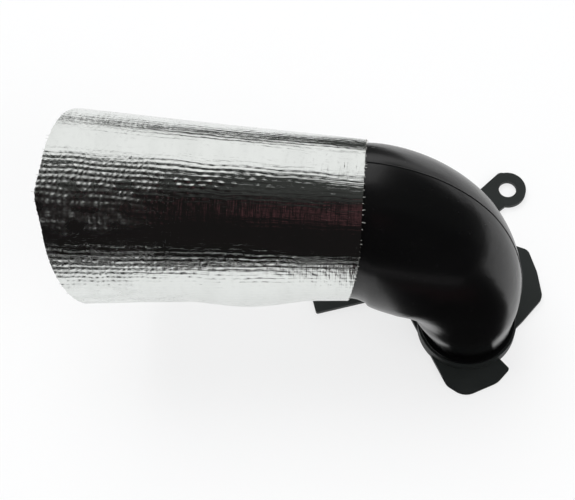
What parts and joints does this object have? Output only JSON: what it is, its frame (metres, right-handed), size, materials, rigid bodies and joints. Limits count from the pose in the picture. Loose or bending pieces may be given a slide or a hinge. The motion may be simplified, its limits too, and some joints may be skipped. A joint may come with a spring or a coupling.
{
  "type": "alternator air duct",
  "caption": "Moulded plastic elbow duct with a flat mounting plate at its outlet and a tapered foil-faced heat shield sleeve over its inlet tube.",
  "frame": {"origin": "centre of the outlet, on the mounting plate's mating face", "axes": "+Z out of the mating face towards the duct, +X away from the inlet along the straight tube"},
  "size_m": [0.2105, 0.1083, 0.1102],
  "materials": {
    "duct_plastic": "satin moulded black",
    "plate_plastic": "matt moulded black",
    "foil_cloth": "foil over woven cloth"
  },
  "bodies": {
    "root": {"duct_elbow": "duct_plastic", "mounting_plate": "plate_plastic", "heat_shield_sleeve": "foil_cloth"}
  },
  "joints": []
}
